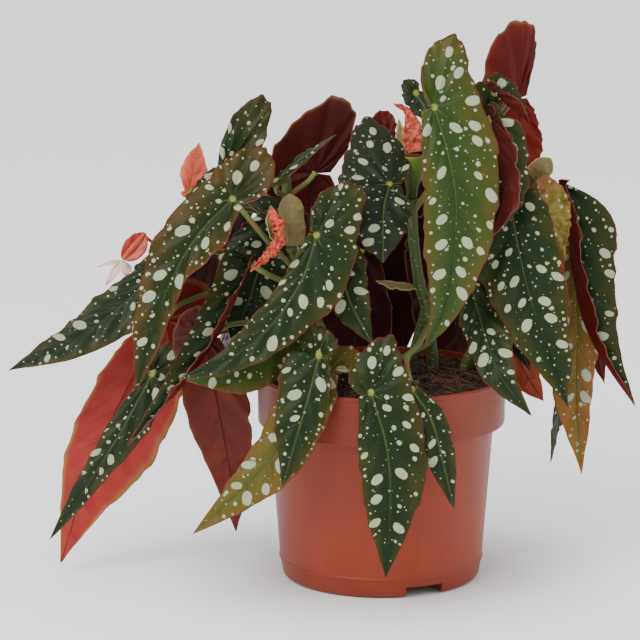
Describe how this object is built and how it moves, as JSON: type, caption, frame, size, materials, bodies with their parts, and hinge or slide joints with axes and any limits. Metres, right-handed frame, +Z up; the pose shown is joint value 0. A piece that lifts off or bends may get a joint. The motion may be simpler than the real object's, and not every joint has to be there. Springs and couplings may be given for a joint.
{
  "type": "potted polka dot begonia",
  "caption": "Cane begonia with lopsided, silver-spotted angel-wing leaves on arching stalks, standing in soil in a round tapered nursery pot.",
  "frame": {"origin": "on the surface the pot stands on, under the middle of the whole plant's bounding box; the pot's axis stands at x 28 mm, y -8.4 mm", "axes": "+Z up, parallel to the pot's axis; -Y is the front of the plant; +X to the right as seen from the front"},
  "size_m": [0.298, 0.1648, 0.2663],
  "materials": {
    "pot_plastic": "satin injection-moulded polypropylene, terracotta colour",
    "soil": null,
    "cane": "green living stem, satin",
    "leaf_green": "satin green upper side with silver-white spots, red underside",
    "leaf_red": "satin; hangs with its wine-red underside to the front",
    "young_leaf": "soft young leaf, coral to yellow",
    "papery_scale": "thin papery stipule, pale green to straw",
    "flower_stalk": "waxy coral",
    "petal": "soft pale pink"
  },
  "bodies": {
    "root": {"bract_centre": "papery_scale", "bud_centre": "cane", "cane_back_left": "cane", "cane_back_right": "cane", "cane_centre": "cane", "cane_left": "cane", "cane_right": "cane", "flower_ovary": "flower_stalk", "flower_petals": "petal", "hood_right": "papery_scale", "leaf_amber_right": "leaf_green", "leaf_back_high_left": "leaf_green", "leaf_back_low_centre": "leaf_green", "leaf_back_low_left": "leaf_green", "leaf_back_low_middle": "leaf_green", "leaf_back_low_right": "leaf_green", "leaf_back_middle": "leaf_green", "leaf_back_right": "leaf_green", "leaf_behind_tall": "leaf_green", "leaf_behind_top_right": "leaf_green", "leaf_big_left": "leaf_green", "leaf_big_right": "leaf_green", "leaf_diagonal": "leaf_green", "leaf_dry_curled": "leaf_red", "leaf_edge_on_left": "leaf_green", "leaf_far_right": "leaf_green", "leaf_folded_right": "leaf_green", "leaf_folded_top_right": "leaf_green", "leaf_hanging_red_left": "leaf_red", "leaf_hanging_red_middle": "leaf_red", "leaf_long_left": "leaf_green", "leaf_middle": "leaf_green", "leaf_narrow_front": "leaf_green", "leaf_olive_left": "leaf_green", "leaf_over_rim_front": "leaf_green", "leaf_over_rim_left": "leaf_green", "leaf_over_rim_right": "leaf_green", "leaf_purple_tip_right": "leaf_red", "leaf_reaching_left": "leaf_green", "leaf_red_back_left": "leaf_red", "leaf_red_tip_back": "leaf_red", "leaf_shaded_left": "leaf_green", "leaf_shaded_right": "leaf_green", "leaf_side_left": "leaf_green", "leaf_sliver_right": "leaf_green", "leaf_small_centre": "leaf_green", "leaf_tall_front": "leaf_green", "leaf_top_red": "leaf_red", "leaf_under_diagonal": "leaf_green", "leaf_upper_left": "leaf_green", "leaf_yellow_left": "leaf_green", "pot": "pot_plastic", "potting_soil": "soil", "stipule_centre": "papery_scale", "stipule_left": "papery_scale", "young_leaf_centre": "young_leaf", "young_leaf_left": "young_leaf", "young_leaf_right": "young_leaf", "young_leaf_salmon": "young_leaf", "young_sheath_left": "papery_scale"}
  },
  "joints": []
}
